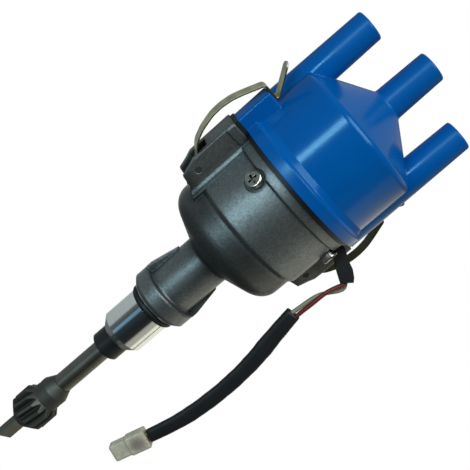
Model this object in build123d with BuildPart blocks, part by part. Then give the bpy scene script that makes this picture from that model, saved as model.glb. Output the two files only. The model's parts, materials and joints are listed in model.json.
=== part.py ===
"""Two-cylinder electronic ignition distributor.

Frame: millimetres, +Z along the drive shaft towards the cap, origin at the
middle of the pilot spigot that fits the engine. X passes through the two cap
clips; the lead leaves at the front right, between +X and -Y.
"""
from build123d import *
import os
from math import cos, radians, sin, tan

# ---------------------------------------------------------------- driving sizes
shaft_d = 10.0           # drive shaft in its bushes
running_gap = 0.03       # radial clearance of every turning fit
press_gap = 0.02         # radial clearance drawn for assembled, non-moving fits
rest_gap = 0.1           # axial play between parts that turn on each other

pilot_d = 23.6           # spigot that enters the engine block
pilot_length = 17.6      # plain ground length of the spigot
bush_d = 15.7            # outside of the shaft bushes
o_ring_d = 3.2           # section of the mounting ring
o_ring_stand_out = 0.9   # how far the ring stands proud of the spigot
o_ring_squeeze = 0.05    # room between ring and groove walls
seat_land = 0.5          # step above the ring groove that closes it
seat_width = 0.95        # flat ring of the seat, outside that step
collar_d = 32.1
collar_height = 9.4
neck_d = 25.4
neck_height = 24.0
bowl_d = 63.8
bowl_slope = 0.444       # rise of the bowl's underside for each mm of radius
bowl_round = 9.0
bowl_height = 22.2       # from the neck to the step
drum_d = 66.8            # cylinder above the step
drum_step = 2.0
drum_height = 23.3
rim_d = 69.4
rim_height = 4.4
housing_wall = 3.0
gasket_t = 1.9
gasket_clear = 0.8       # gasket outside the housing's bore

cap_flange_d = 75.6
cap_flange_t = 5.1
cap_cove_height = 8.8    # from the gasket to where the flange has run into the wall
cap_wall_d = 70.6
cap_wall = 2.8
cap_height = 35.6        # from the gasket to the shoulder corner
cap_cone_rise = 16.6     # from the shoulder corner to the centre tower
cap_draft_d = 0.6        # the wall's loss of diameter up to the shoulder
tower_d = 14.86          # every tower, at its tip
tower_draft = 0.0155     # gain of radius for each mm down from the tip
tower_radius = 31.2      # side towers from the shaft axis
side_tower_height = 68.4     # from the gasket to the tip
centre_tower_height = 78.0
socket_d = 8.4           # high-tension lead sockets
socket_depth = 20.6
tower_angle = -20.5      # degrees from +X to the right-hand side tower

clip_w = 5.7
clip_t = 0.8
clip_pivot_r = 39.2      # pivot pin from the shaft axis
clip_pivot_z = 73.2
clip_pin_d = 2.5
lug_w = 8.6
lug_reach = clip_pivot_r + 4.5       # outer face of the cap lugs
lug_height = 17.5        # above the gasket
clip_boss_w = 11.0
clip_boss_reach = clip_pivot_r + 5.4

gear_d = 20.26
gear_root_d = 15.4
gear_teeth = 13
gear_face = 8.5          # full-diameter face width
gear_helix = 12.0        # degrees of twist over the toothed length
gear_hub_d = 15.0
gear_hub_length = 6.4
gear_crown = 5.1         # cone from the hub up to the shaft
gear_runout = 3.0        # teeth dying out into the hub
gear_pin_angle = -30.0
tang_w = 8.0
tang_t = 4.2
tang_length = 12.2
tang_angle = 22.0

screw_d = 4.0            # base plate screws
screw_head_d = 8.0
screw_head_h = 2.8
screw_washer_t = 1.0
screw_angles = (-141.0, -36.5)
screw_z = 89.6

wire_d = 2.2
sleeve_w = 8.2
sleeve_t = 4.4
sleeve_wall = 0.7
lead_angle = -20.5       # plane of the lead, degrees from +X

# ---------------------------------------------------------------- heights
seat_z = pilot_length / 2 + o_ring_d + 2 * o_ring_squeeze + seat_land
o_ring_outer_r = pilot_d / 2 + o_ring_stand_out
land_r = o_ring_outer_r + o_ring_squeeze
seat_r = land_r + seat_width
collar_chamfer = collar_d / 2 - seat_r
collar_top = seat_z + collar_height
neck_top = collar_top + neck_height
step_z = neck_top + bowl_height
drum_z = step_z + drum_step
rim_z = drum_z + drum_height
rim_top = rim_z + rim_height
cap_z = rim_top + gasket_t
shoulder_z = cap_z + cap_height
cone_top = shoulder_z + cap_cone_rise
side_tip = cap_z + side_tower_height
centre_tip = cap_z + centre_tower_height
pilot_chamfer = 4.1
pilot_bottom = -pilot_length / 2 - pilot_chamfer
bush_stand_out = 8.9
bush_bottom = pilot_bottom - bush_stand_out

shaft_r = shaft_d / 2
bush_r = bush_d / 2
bowl_r = bowl_d / 2
inner_drum_r = drum_d / 2 - housing_wall
inner_bowl_r = bowl_r - housing_wall
floor_lift = 3.3         # bowl floor above its underside
bearing_boss_height = 8.0    # above the neck
bearing_boss_top = neck_top + bearing_boss_height
bearing_boss_r = 11.5
upper_bush_length = 20.0
lower_bush_top = 2.0
oil_space_r = 6.0

# centrifugal advance, one level above the other
washer_t = 1.0
washer_z = bearing_boss_top
flange_z = washer_z + washer_t + rest_gap
flange_t = 2.9
flange_r = 7.0
plate_z = flange_z + flange_t
plate_t = 2.0
plate_r = 24.0
weight_z = plate_z + plate_t + 0.2
weight_t = 4.0
weight_pivot_r = 17.0
weight_pin_r = 2.0
cam_pin_r = 8.0          # drive pins of the cam plate from the shaft axis
cam_pin_d = 3.0
cam_plate_z = weight_z + weight_t + 0.3
cam_plate_t = 2.0
cam_plate_r = cam_pin_r + 3.5
upper_shaft_r = 4.0
sleeve_r = 6.5           # cam sleeve outside

base_plate_z = drum_z + 8.8
base_plate_t = 1.5
base_plate_bore_r = 12.5
reluctor_z = base_plate_z + 5.5
reluctor_t = 6.0
reluctor_tip_r = 15.0
pickup_air_gap = 0.4
pickup_angle = -95.0
sleeve_above = 17.5          # cam sleeve above the reluctor
sleeve_top = reluctor_z + reluctor_t + sleeve_above
circlip_z = sleeve_top - 8.7
circlip_t = 0.8
shaft_top = sleeve_top - 6.4
rotor_grip = 9.5             # rotor arm pushed down over the sleeve
rotor_z = sleeve_top - rotor_grip
rotor_top = sleeve_top + 4.0
rotor_hub_r = 8.6
rotor_arm_t = 5.0
rotor_arm_w = 8.0
contact_t = 1.2
contact_reach = 26.3
contact_nose_t = 2.3       # end of the contact, bent down over the arm
contact_nose_drop = 2.5
terminal_gap = 0.5
terminal_r = 2.5
brush_d = 4.9
brush_length = 13.0
brush_spring_turns = 7


# ---------------------------------------------------------------- helpers
def section(*corners):
    """Half section in the XZ plane; a third number rounds that corner."""
    with BuildSketch(Plane.XZ) as face:
        with BuildLine():
            Polyline(*[corner[:2] for corner in corners], close=True)
        make_face()
        for corner in corners:
            if len(corner) == 3:
                spot = Vector(corner[0], corner[1], 0)
                fillet(face.vertices().sort_by_distance(spot)[0], corner[2])
    return face.sketch


def ring_at(z, outer_r, inner_r):
    """Flat ring, drawn at height z."""
    with BuildSketch(Plane.XY.offset(z)) as face:
        Circle(outer_r)
        if inner_r:
            Circle(inner_r, mode=Mode.SUBTRACT)
    return face.sketch


def turned_plane(angle, radius=0.0, z=0.0):
    """Plane across the radius at an angle: normal outwards, local Y up."""
    out = Vector(cos(radians(angle)), sin(radians(angle)), 0)
    return Plane(origin=out * radius + Vector(0, 0, z), x_dir=(-out.Y, out.X, 0), z_dir=out)


def upright_plane(angle):
    """Plane through the shaft axis: local X outwards at the angle, local Y up."""
    out = Vector(cos(radians(angle)), sin(radians(angle)), 0)
    return Plane(origin=(0, 0, 0), x_dir=out, z_dir=(out.Y, -out.X, 0))


def save(builder, name):
    """Label one finished piece and write its STEP file."""
    builder.part.label = name
    export_step(builder.part, f"parts/{name}.step")


def polar(radius, angle, z=0.0):
    return (radius * cos(radians(angle)), radius * sin(radians(angle)), z)


def route_radii(points, share=0.45):
    """Largest arc for each inner corner of a route: a share of its shorter run."""
    knots = [Vector(*p) for p in points]
    radii = []
    for before, here, after in zip(knots, knots[1:], knots[2:]):
        turn = (here - before).get_angle(after - here)
        shorter = min((here - before).length, (after - here).length)
        radii.append(share * shorter / tan(radians(turn / 2)))
    return radii


os.makedirs("parts", exist_ok=True)

# ---------------------------------------------------------------- housing
clip_boss_top = rim_top - 0.4
clip_boss_root_r = bowl_r - housing_wall + 0.1
clip_boss_outline = [
    (clip_boss_root_r, clip_pivot_z - 10.7), (bowl_r + 0.7, clip_pivot_z - 10.1),
    (clip_boss_reach - 8.4, clip_pivot_z - 7.6), (clip_boss_reach - 3.1, clip_pivot_z - 6.6),
    (clip_boss_reach - 1.6, clip_pivot_z - 1.7), (clip_boss_reach - 0.2, clip_pivot_z + 1.8),
    (clip_boss_reach, clip_pivot_z + 6.8), (clip_boss_reach, clip_boss_top),
    (clip_boss_root_r, clip_boss_top),
]
clip_flare_r = drum_d / 2 + 2.6      # where the boss starts to spread into the drum
clip_flare_w = 17.0
lip_stand_out = 0.5
clip_plan = [
    (clip_boss_root_r, clip_flare_w / 2), (clip_flare_r - 3.6, clip_flare_w / 2),
    (clip_flare_r - 2.9, clip_boss_w / 2 + 1.3), (clip_flare_r - 1.7, clip_boss_w / 2 + 0.4),
    (clip_flare_r, clip_boss_w / 2), (clip_boss_reach, clip_boss_w / 2),
]
clip_plan += [(x, -y) for x, y in reversed(clip_plan)]
clip_slot_w = clip_w + 0.6
clip_slot_drop = 14.0
clip_slot_reach = clip_boss_reach + 5.6
clip_slot_depth_r = clip_pivot_r - 2.8
clip_slot_top = clip_pivot_z + 10.2
clip_eye_r = clip_pin_d / 2 + 0.05 + clip_t
rib_w = 4.5
grommet_w = 7.4
grommet_notch = 7.6
grommet_z = rim_top - grommet_notch

with BuildPart() as housing:
    revolve(section(
        (bush_r, pilot_bottom), (bush_r + 0.6, pilot_bottom),
        (pilot_d / 2, -pilot_length / 2), (pilot_d / 2, pilot_length / 2),
        (o_ring_outer_r - o_ring_d, pilot_length / 2), (o_ring_outer_r - o_ring_d, seat_z - seat_land),
        (land_r, seat_z - seat_land), (land_r, seat_z), (seat_r, seat_z),
        (collar_d / 2, seat_z + collar_chamfer), (collar_d / 2, collar_top, 0.8),
        (neck_d / 2, collar_top, 1.2), (neck_d / 2, neck_top, 1.5),
        (bowl_r, neck_top + bowl_slope * (bowl_r - neck_d / 2), bowl_round),
        (bowl_r, step_z), (drum_d / 2, drum_z), (drum_d / 2, rim_z - 0.8),
        (rim_d / 2, rim_z), (rim_d / 2, rim_top), (inner_drum_r, rim_top),
        (inner_drum_r, drum_z + 1.5), (inner_bowl_r, step_z + 0.5),
        (inner_bowl_r, neck_top + floor_lift + bowl_slope * (inner_bowl_r - neck_d / 2), 6.0),
        (bearing_boss_r, neck_top + floor_lift + bowl_slope * (bearing_boss_r - neck_d / 2)),
        (bearing_boss_r, bearing_boss_top), (bush_r, bearing_boss_top),
        (bush_r, bearing_boss_top - upper_bush_length), (oil_space_r, bearing_boss_top - upper_bush_length),
        (oil_space_r, lower_bush_top), (bush_r, lower_bush_top)), axis=Axis.Z)
    # clip bosses with the lip that runs round them
    for side in (1, -1):
        with BuildPart(mode=Mode.PRIVATE) as boss:
            with BuildSketch(Plane.XZ) as ear:
                with BuildLine():
                    Polyline(*[(side * x, z) for x, z in clip_boss_outline], close=True)
                make_face()
            extrude(amount=clip_flare_w / 2, both=True)
            with BuildSketch(Plane.XY.offset(clip_pivot_z - clip_slot_drop)) as spread:
                with BuildLine():
                    Polyline(*[(side * x, y) for x, y in clip_plan], close=True)
                make_face()
            extrude(amount=rim_top - clip_pivot_z + clip_slot_drop, mode=Mode.INTERSECT)
        add(boss.part)
        with BuildSketch(Plane.XY.offset(rim_z)) as lip:
            with Locations((side * (clip_boss_root_r + clip_boss_reach) / 2, 0)):
                RectangleRounded(clip_boss_reach - clip_boss_root_r, clip_boss_w + 2 * lip_stand_out, 1.2)
        extrude(amount=rim_height)
    # the bosses stop at the drum's inside
    extrude(ring_at(drum_z + 1.5, inner_drum_r, 0.0), amount=rim_top - drum_z, mode=Mode.SUBTRACT)
    # clip slots and pivot holes
    for side in (1, -1):
        with BuildSketch(Plane.XZ) as slot:
            with BuildLine():
                Polyline((side * clip_slot_depth_r, clip_pivot_z - clip_slot_drop),
                         (side * clip_slot_reach, clip_pivot_z - clip_slot_drop),
                         (side * clip_slot_reach, clip_slot_top + 3.0),
                         (side * clip_boss_reach, clip_slot_top),
                         (side * clip_slot_depth_r, clip_pivot_z + 3.4), close=True)
            make_face()
        extrude(amount=clip_slot_w / 2, both=True, mode=Mode.SUBTRACT)
        with BuildSketch(Plane.XZ) as pin_hole:
            with Locations((side * clip_pivot_r, clip_pivot_z)):
                Circle(clip_pin_d / 2 + press_gap)
        extrude(amount=clip_boss_w, both=True, mode=Mode.SUBTRACT)
    # two wedge ribs on the neck
    for angle in (tower_angle, tower_angle + 180):
        with BuildSketch(upright_plane(angle)) as rib:
            with BuildLine():
                Polyline((9.0, collar_top - 1.0), (collar_d / 2, collar_top - 1.0),
                         (collar_d / 2, collar_top + 2.2), (neck_d / 2 + 0.5, collar_top + 16.8),
                         (9.0, collar_top + 16.8), close=True)
            make_face()
        extrude(amount=rib_w / 2, both=True)
    # the ribs stay out of the bearing bore
    extrude(ring_at(collar_top - 2.0, oil_space_r, 0.0),
            amount=bearing_boss_top - upper_bush_length - collar_top + 2.0, mode=Mode.SUBTRACT)
    extrude(ring_at(bearing_boss_top - upper_bush_length, bush_r, 0.0),
            amount=upper_bush_length, mode=Mode.SUBTRACT)
    # screw seats and holes
    for angle in screw_angles:
        with BuildSketch(turned_plane(angle, drum_d / 2 - 0.4, screw_z)) as seat:
            Circle(screw_head_d / 2 + 1.0)
        extrude(amount=5.0, mode=Mode.SUBTRACT)
        with BuildSketch(turned_plane(angle, inner_drum_r - 4.0, screw_z)) as hole:
            Circle(screw_d / 2 + 0.2)
        extrude(amount=12.0, mode=Mode.SUBTRACT)
    # notch in the rim for the lead grommet
    with BuildSketch(turned_plane(lead_angle, inner_drum_r - 4.0, grommet_z)) as notch:
        with Locations((0, grommet_notch / 2 + 2)):
            Rectangle(grommet_w, grommet_notch + 4)
    extrude(amount=12.0, mode=Mode.SUBTRACT)
save(housing, "housing")

with BuildPart() as mount_o_ring:
    with BuildSketch(Plane.XZ) as ring_section:
        with Locations((o_ring_outer_r - o_ring_d / 2, seat_z - seat_land - o_ring_squeeze - o_ring_d / 2)):
            Circle(o_ring_d / 2)
    revolve(axis=Axis.Z)
save(mount_o_ring, "mount_o_ring")

with BuildPart() as lower_bush:
    revolve(section(
        (shaft_r + running_gap, bush_bottom), (bush_r - 0.8, bush_bottom), (bush_r, bush_bottom + 0.8),
        (bush_r, lower_bush_top), (shaft_r + running_gap, lower_bush_top)), axis=Axis.Z)
save(lower_bush, "lower_bush")

with BuildPart() as upper_bush:
    extrude(ring_at(bearing_boss_top - upper_bush_length, bush_r, shaft_r + running_gap),
            amount=upper_bush_length)
save(upper_bush, "upper_bush")

# ---------------------------------------------------------------- drive shaft and gear
gear_low = -78.9
gear_chamfer = 5.8
toothed_length = gear_chamfer + gear_face + gear_runout
hub_low = gear_low + toothed_length
hub_top = hub_low + gear_hub_length
hub_crown = hub_top + gear_crown
gear_pin_z = hub_low + gear_hub_length / 2
gear_pin_d = 3.0
tang_z = gear_low - tang_length
gear_seat_r = shaft_r - 1.0      # shaft end that carries the gear

with BuildPart() as drive_shaft:
    revolve(section(
        (0, gear_low), (gear_seat_r, gear_low), (gear_seat_r, hub_crown - 2.0), (shaft_r, hub_crown - 2.0),
        (shaft_r, flange_z), (flange_r, flange_z), (flange_r, plate_z), (shaft_r, plate_z),
        (shaft_r, plate_z + plate_t), (upper_shaft_r, plate_z + plate_t),
        (upper_shaft_r, circlip_z), (upper_shaft_r - 0.5, circlip_z),
        (upper_shaft_r - 0.5, circlip_z + circlip_t), (upper_shaft_r, circlip_z + circlip_t),
        (upper_shaft_r, shaft_top - 0.5), (upper_shaft_r - 0.5, shaft_top), (0, shaft_top)), axis=Axis.Z)
    # tang: a round end milled flat on two sides
    with BuildSketch(Plane.XY.offset(tang_z).rotated((0, 0, tang_angle))) as tang:
        Circle(tang_w / 2)
        Rectangle(tang_w * 2, tang_t, mode=Mode.INTERSECT)
    extrude(amount=tang_length)
    with BuildSketch(turned_plane(gear_pin_angle, -gear_hub_d, gear_pin_z)) as pin_bore:
        Circle(gear_pin_d / 2)
    extrude(amount=2 * gear_hub_d, mode=Mode.SUBTRACT)
save(drive_shaft, "drive_shaft")

tooth_depth = (gear_d - gear_root_d) / 2


def gear_outline(share):
    """Tooth form across the gear at a share of its height, turned by the helix."""
    height = gear_low + share * toothed_length
    with BuildSketch(Plane.XY.offset(height).rotated((0, 0, share * gear_helix))) as outline:
        Circle(gear_root_d / 2)
        with PolarLocations(gear_root_d / 2 + tooth_depth / 2 - 0.3, gear_teeth):
            Trapezoid(3.3, tooth_depth + 0.6, 72, rotation=-90)
    return outline.sketch


with BuildPart() as drive_gear:
    loft([gear_outline(0), gear_outline(0.5), gear_outline(1)], ruled=True)
    with BuildPart(mode=Mode.PRIVATE) as gear_blank:
        revolve(section(
            (gear_seat_r, gear_low), (gear_seat_r + 1.0, gear_low),
            (gear_d / 2, gear_low + gear_chamfer - 0.6), (gear_d / 2, hub_low - gear_runout),
            (gear_hub_d / 2, hub_low), (gear_seat_r, hub_low)), axis=Axis.Z)
    add(gear_blank.part, mode=Mode.INTERSECT)
    revolve(section(
        (gear_seat_r, hub_low - 0.5), (gear_hub_d / 2, hub_low - 0.5), (gear_hub_d / 2, hub_top),
        (shaft_r + 0.2, hub_crown), (shaft_r, hub_crown), (shaft_r, hub_crown - 2.0),
        (gear_seat_r, hub_crown - 2.0)), axis=Axis.Z)
    with BuildSketch(turned_plane(gear_pin_angle, -gear_hub_d, gear_pin_z)) as pin_bore:
        Circle(gear_pin_d / 2)
    extrude(amount=2 * gear_hub_d, mode=Mode.SUBTRACT)
save(drive_gear, "drive_gear")

with BuildPart() as gear_pin:
    with BuildSketch(turned_plane(gear_pin_angle, 0.4 - gear_hub_d / 2, gear_pin_z)) as pin_end:
        Circle(gear_pin_d / 2)
    extrude(amount=gear_hub_d - 0.8)
save(gear_pin, "gear_pin")

with BuildPart() as thrust_washer:
    extrude(ring_at(washer_z, bearing_boss_r - 2.0, shaft_r + 0.15), amount=washer_t)
save(thrust_washer, "thrust_washer")

# ---------------------------------------------------------------- centrifugal advance
with BuildPart() as advance_plate:
    extrude(ring_at(plate_z, plate_r, shaft_r), amount=plate_t)
    with BuildSketch(Plane.XY.offset(plate_z)) as waist:
        with PolarLocations(plate_r + 9.0, 2):
            Circle(16.0)
        with PolarLocations(weight_pivot_r, 2, start_angle=90):
            Circle(weight_pin_r)
    extrude(amount=plate_t, mode=Mode.SUBTRACT)
save(advance_plate, "advance_plate")

with BuildPart() as weight_pins:
    with BuildSketch(Plane.XY.offset(plate_z)) as pin_ends:
        with PolarLocations(weight_pivot_r, 2, start_angle=90):
            Circle(weight_pin_r)
    extrude(amount=weight_z + weight_t + 0.9 - plate_z)
    with BuildSketch(Plane.XY.offset(weight_z + weight_t + 0.1)) as heads:
        with PolarLocations(weight_pivot_r, 2, start_angle=90):
            Circle(weight_pin_r + 1.2)
    extrude(amount=0.8)
save(weight_pins, "weight_pins")

weight_outer_r = 22.5
weight_inner_r = 10.5
weight_start = 12.0            # the heavy part runs from here round to weight_end, in degrees
weight_end = 80.0
weight_sector = [weight_start + share * (weight_end - weight_start) / 3 for share in range(4)]
cam_pin_play = 0.15


def flyweight_outline(turn):
    """Weight seen from above: pivot eye, slotted arm and heavy sector."""
    with BuildSketch(Plane.XY.offset(weight_z).rotated((0, 0, turn))) as outline:
        with BuildLine():
            Polyline((0, 0), *[polar(weight_outer_r * 1.3, a)[:2] for a in weight_sector], (0, 0))
        make_face()
        with BuildSketch(mode=Mode.INTERSECT):
            Circle(weight_outer_r)
            Circle(weight_inner_r, mode=Mode.SUBTRACT)
        with Locations((0, weight_pivot_r)):
            Circle(4.6)
        with Locations((0, 11.6)):
            Rectangle(7.0, 11.6)
        with Locations((2.4, 15.0)):
            Rectangle(5.0, 6.0)
        with Locations((0, weight_pivot_r)):
            Circle(weight_pin_r + running_gap, mode=Mode.SUBTRACT)
        with Locations((0, cam_pin_r - 0.9)):
            Rectangle(cam_pin_d + 2 * cam_pin_play, 5.4, mode=Mode.SUBTRACT)
    return outline.sketch


with BuildPart() as flyweight_a:
    extrude(flyweight_outline(0), amount=weight_t)
save(flyweight_a, "flyweight_a")

with BuildPart() as flyweight_b:
    extrude(flyweight_outline(180), amount=weight_t)
save(flyweight_b, "flyweight_b")

circlip_seat_r = 5.2
with BuildPart() as cam_sleeve:
    with BuildSketch(Plane.XY.offset(cam_plate_z)) as cam_plate:
        Circle(cam_plate_r)
        Circle(upper_shaft_r + running_gap, mode=Mode.SUBTRACT)
    extrude(amount=cam_plate_t)
    with BuildSketch(Plane.XY.offset(weight_z + 0.3)) as drive_pins:
        with PolarLocations(cam_pin_r, 2, start_angle=90):
            Circle(cam_pin_d / 2)
    extrude(amount=cam_plate_z - weight_z)
    revolve(section(
        (upper_shaft_r + running_gap, cam_plate_z), (sleeve_r, cam_plate_z), (sleeve_r, sleeve_top),
        (circlip_seat_r, sleeve_top), (circlip_seat_r, circlip_z - rest_gap),
        (upper_shaft_r + running_gap, circlip_z - rest_gap)), axis=Axis.Z)
    # flat that sets the rotor arm
    with BuildSketch(Plane.XY.offset(rotor_z)) as flat:
        with Locations((-sleeve_r, 0)):
            Rectangle(1.0, 3 * sleeve_r)
    extrude(amount=sleeve_top - rotor_z, mode=Mode.SUBTRACT)
save(cam_sleeve, "cam_sleeve")

with BuildPart() as cam_circlip:
    with BuildSketch(Plane.XY.offset(circlip_z)) as clip_ring:
        Circle(upper_shaft_r + 0.9)
        Circle(upper_shaft_r - 0.5, mode=Mode.SUBTRACT)
        with Locations((6.0, 0)):
            Rectangle(8.0, 5.0, mode=Mode.SUBTRACT)
    extrude(amount=circlip_t)
save(cam_circlip, "cam_circlip")

with BuildPart() as oil_felt:
    with BuildSketch(Plane.XY.offset(shaft_top + 0.2)) as pad:
        Circle(circlip_seat_r)
    extrude(amount=3.0)
save(oil_felt, "oil_felt")

# ---------------------------------------------------------------- trigger
reluctor_body_r = 9.0
with BuildPart() as reluctor:
    with BuildSketch(Plane.XY.offset(reluctor_z)) as star:
        Circle(reluctor_body_r)
        with PolarLocations(reluctor_tip_r / 2 + 3.0, 2, start_angle=pickup_angle):
            Rectangle(reluctor_tip_r - 6.0, 3.2)
        Circle(sleeve_r, mode=Mode.SUBTRACT)
    extrude(amount=reluctor_t)
save(reluctor, "reluctor")

tab_top = screw_z + 4.5
tab_w = 8.0
tab_inner_r = inner_drum_r - base_plate_t
with BuildPart() as base_plate:
    extrude(ring_at(base_plate_z, inner_drum_r, base_plate_bore_r), amount=base_plate_t)
    for angle in screw_angles:
        with BuildSketch(Plane.XY.offset(base_plate_z).rotated((0, 0, angle))) as tab:
            Circle(inner_drum_r)
            Circle(tab_inner_r, mode=Mode.SUBTRACT)
            with Locations((inner_drum_r, 0)):
                Rectangle(6.0, tab_w, mode=Mode.INTERSECT)
        extrude(amount=tab_top - base_plate_z)
        with BuildSketch(turned_plane(angle, tab_inner_r - 2.0, screw_z)) as thread:
            Circle(screw_d / 2)
        extrude(amount=6.0, mode=Mode.SUBTRACT)
    # a round window between the pickup and the far side
    with BuildSketch(Plane.XY.offset(base_plate_z)) as window:
        with Locations(polar(21.5, pickup_angle + 180)):
            Circle(4.5)
        with Locations(polar(24.5, pickup_angle)):
            Circle(1.5)
    extrude(amount=base_plate_t, mode=Mode.SUBTRACT)
save(base_plate, "base_plate")

plate_top = base_plate_z + base_plate_t
pole_z = reluctor_z + 1.5
pole_t = 3.0
pole_w = 5.0
coil_r = (17.2, 22.0)
magnet_r = (22.4, 27.2)
pickup_screw_r = 24.5     # its screw from the shaft axis
pickup_screw_d = 3.0
pickup_across = Plane.XY.rotated((0, 0, pickup_angle))


def pickup_face(low, near, far, width):
    """Rectangle on the pickup's radial line between two radii, at a height."""
    with BuildSketch(pickup_across.offset(low)) as foot:
        with Locations(((near + far) / 2, 0)):
            Rectangle(far - near, width)
    return foot.sketch


with BuildPart() as pickup_magnet:
    extrude(pickup_face(plate_top, *magnet_r, 9.0), amount=pole_z - plate_top)
    with BuildSketch(pickup_across.offset(plate_top)) as screw_way:
        with Locations((pickup_screw_r, 0)):
            Circle(pickup_screw_d / 2 + 0.2)
    extrude(amount=pole_z - plate_top, mode=Mode.SUBTRACT)
save(pickup_magnet, "pickup_magnet")

with BuildPart() as pickup_pole:
    extrude(pickup_face(pole_z, reluctor_tip_r + pickup_air_gap, magnet_r[1], pole_w), amount=pole_t)
    extrude(pickup_face(pole_z, *magnet_r, 9.0), amount=pole_t)
    with BuildSketch(pickup_across.offset(pole_z)) as screw_way:
        with Locations((pickup_screw_r, 0)):
            Circle(pickup_screw_d / 2 + 0.2)
    extrude(amount=pole_t, mode=Mode.SUBTRACT)
save(pickup_pole, "pickup_pole")

with BuildPart() as pickup_coil:
    extrude(pickup_face(plate_top, *coil_r, 12.0), amount=pole_z + pole_t + 3.2 - plate_top)
    extrude(pickup_face(pole_z, *coil_r, pole_w), amount=pole_t, mode=Mode.SUBTRACT)
save(pickup_coil, "pickup_coil")

with BuildPart() as pickup_screw:
    with BuildSketch(pickup_across.offset(base_plate_z)) as shank:
        with Locations((pickup_screw_r, 0)):
            Circle(pickup_screw_d / 2)
    extrude(amount=pole_z + pole_t - base_plate_z)
    with BuildSketch(pickup_across.offset(pole_z + pole_t)) as head:
        with Locations((pickup_screw_r, 0)):
            Circle(pickup_screw_d / 2 + 0.8)
    extrude(amount=1.6)
save(pickup_screw, "pickup_screw")

screw_seat_r = drum_d / 2 - 0.4
with BuildPart() as screw_washers:
    for angle in screw_angles:
        with BuildSketch(turned_plane(angle, screw_seat_r, screw_z)) as washer:
            Circle(screw_head_d / 2 - 0.2)
            Circle(screw_d / 2 + 0.1, mode=Mode.SUBTRACT)
        extrude(amount=screw_washer_t)
save(screw_washers, "screw_washers")

with BuildPart() as base_plate_screws:
    for angle in screw_angles:
        with BuildSketch(turned_plane(angle, tab_inner_r - 1.0, screw_z)) as shank:
            Circle(screw_d / 2)
        extrude(amount=screw_seat_r + screw_washer_t - tab_inner_r + 1.0)
        head_plane = turned_plane(angle, screw_seat_r + screw_washer_t, screw_z)
        with BuildPart(mode=Mode.PRIVATE) as head:
            with BuildSketch(head_plane) as disc:
                Circle(screw_head_d / 2)
            extrude(amount=screw_head_h)
            fillet(head.faces().sort_by(Axis(head_plane.origin, head_plane.z_dir))[-1].edges(), 1.1)
            with BuildSketch(head_plane.offset(screw_head_h - 1.6)) as recess:
                Rectangle(4.4, 1.0)
                Rectangle(1.0, 4.4)
            extrude(amount=3.0, mode=Mode.SUBTRACT)
        add(head.part)
save(base_plate_screws, "base_plate_screws")

# ---------------------------------------------------------------- rotor arm
with BuildPart() as rotor_arm:
    revolve(section(
        (0, sleeve_top + 0.3), (sleeve_r + press_gap, sleeve_top + 0.3), (sleeve_r + press_gap, rotor_z),
        (rotor_hub_r, rotor_z), (rotor_hub_r, rotor_top, 0.8), (0, rotor_top)), axis=Axis.Z)
    with BuildSketch(Plane.XY.offset(rotor_z)) as key:
        with Locations((-sleeve_r - 0.5, 0)):
            Rectangle(2.0 - press_gap, 6.0)
    extrude(amount=sleeve_top - rotor_z)
    with BuildSketch(Plane.XY.offset(rotor_top - rotor_arm_t).rotated((0, 0, tower_angle))) as arm:
        with Locations(((rotor_hub_r + contact_reach - contact_nose_t) / 2 - 0.8, 0)):
            Rectangle(contact_reach - contact_nose_t - rotor_hub_r + 1.6, rotor_arm_w)
        with Locations((-rotor_hub_r - 1.9, 0)):
            Rectangle(7.0, rotor_arm_w + 2.0)
    extrude(amount=rotor_arm_t)
save(rotor_arm, "rotor_arm")

contact_top = rotor_top + contact_t
with BuildPart() as rotor_contact:
    with BuildSketch(Plane.XY.offset(rotor_top).rotated((0, 0, tower_angle))) as strip:
        with Locations(((contact_reach - 4.0) / 2, 0)):
            Rectangle(contact_reach + 4.0, 6.0)
        Circle(contact_reach, mode=Mode.INTERSECT)
    extrude(amount=contact_t)
    with BuildSketch(Plane.XY.offset(rotor_top - contact_nose_drop).rotated((0, 0, tower_angle))) as nose:
        Circle(contact_reach)
        with Locations((contact_reach + 4.0 - contact_nose_t, 0)):
            Rectangle(8.0, 6.0, mode=Mode.INTERSECT)
    extrude(amount=contact_nose_drop)
save(rotor_contact, "rotor_contact")

# ---------------------------------------------------------------- cap
gasket_r = rim_d / 2 + 0.9
with BuildPart() as rim_gasket:
    with BuildSketch(Plane.XY.offset(rim_top)) as band:
        Circle(gasket_r)
        Rectangle(2 * lug_reach + 0.4, lug_w + 0.8)
        Circle(inner_drum_r + gasket_clear, mode=Mode.SUBTRACT)
    extrude(amount=gasket_t)
save(rim_gasket, "rim_gasket")

cap_flange_r = cap_flange_d / 2
cap_wall_r = cap_wall_d / 2
cap_inner_r = cap_wall_r - cap_wall
shoulder_r = cap_wall_r - cap_draft_d / 2
tower_tip_r = tower_d / 2
cone_slope = cap_cone_rise / (shoulder_r - tower_tip_r - 0.5)
roof_t = 4.7                 # the roof, measured upright
brush_boss_bottom = contact_top + 4.6
brush_boss_r = 5.4
brush_bore_r = brush_d / 2 + 0.05
terminal_low = contact_top - 2.6
side_socket_z = side_tip - socket_depth
centre_socket_z = centre_tip - socket_depth
terminal_d_r = contact_reach + terminal_gap + terminal_r     # side terminals from the shaft axis
centre_terminal_r = 3.2
centre_terminal_z = contact_top + 0.1 + brush_length + 13.3
spigot_drop = 1.6
spigot_inner_r = inner_drum_r - 2.0
centre_root_r = tower_tip_r + 0.5
tip_round = 1.0
lug_round = 1.2

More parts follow.
